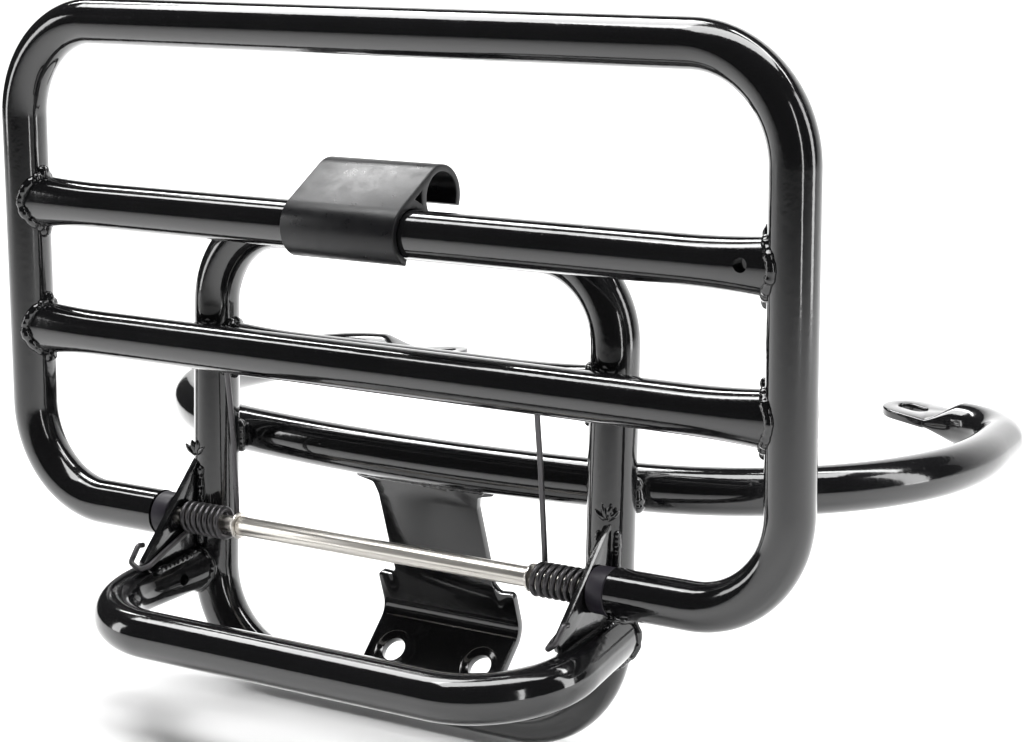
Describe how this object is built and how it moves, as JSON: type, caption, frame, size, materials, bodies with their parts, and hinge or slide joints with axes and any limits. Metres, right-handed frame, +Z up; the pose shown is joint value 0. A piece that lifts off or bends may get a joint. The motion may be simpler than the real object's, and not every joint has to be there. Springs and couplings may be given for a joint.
{
  "type": "folding luggage rack",
  "caption": "Fold-down tube luggage rack for a motor scooter tail: fixed hoop with mounting bow and bolt bracket, sprung hinged platform and a hook-over latch clip.",
  "frame": {"origin": "Middle of the centre bracket's bolting face, between its two bolt holes.", "axes": "+X is across the rack, towards the side on the right when the folded-up platform is seen from behind the vehicle. +Y points forward, from the platform to the mounting bow's eyelets and the rider. +Z is up."},
  "size_m": [0.4142, 0.3169, 0.3007],
  "materials": {
    "frame_paint": "gloss black paint, light orange peel",
    "bracket_paint": "gloss black paint on sheet steel",
    "plate_paint": "gloss black paint over cut edges and weld",
    "platform_paint": "gloss black paint, light orange peel",
    "axle_nickel": "bright plated steel, slightly warm",
    "spring_steel": "dark oiled spring steel",
    "bush_plastic": "dark grey moulded plastic",
    "clip_plastic": "satin black moulded plastic"
  },
  "bodies": {
    "fixed_frame": {"fixed_hoop": "frame_paint", "hoop_crossbar": "frame_paint", "side_bow": "frame_paint", "ledge_tube": "frame_paint", "centre_bracket": "bracket_paint", "hinge_plate_right": "plate_paint", "hinge_plate_left": "plate_paint", "axle_rod": "axle_nickel", "axle_sleeve": "axle_nickel", "sleeve_washer_left": "axle_nickel", "sleeve_washer_right": "axle_nickel", "torsion_spring_right": "spring_steel", "torsion_spring_left": "spring_steel"},
    "platform": {"platform_tube": "platform_paint", "platform_lower_crossbar": "platform_paint", "platform_upper_crossbar": "platform_paint", "hinge_bush_right": "bush_plastic", "hinge_bush_left": "bush_plastic"},
    "clip": {"latch_clip": "clip_plastic"}
  },
  "joints": [
    {"name": "platform_fold", "type": "hinge", "parent": "fixed_frame", "child": "platform", "pos_m": [0, -0.04186, 0.05954], "axis": [1, 0, 0], "range_deg": [0, 103], "stiffness_Nm_per_rad": 0.8, "springref_deg": -34.38, "deforming": ["torsion_spring_right", "torsion_spring_left"]},
    {"name": "clip_turn", "type": "hinge", "parent": "platform", "child": "clip", "pos_m": [0, -0.03941, 0.19362], "axis": [1, 0, 0], "range_deg": [-44, 75]}
  ]
}
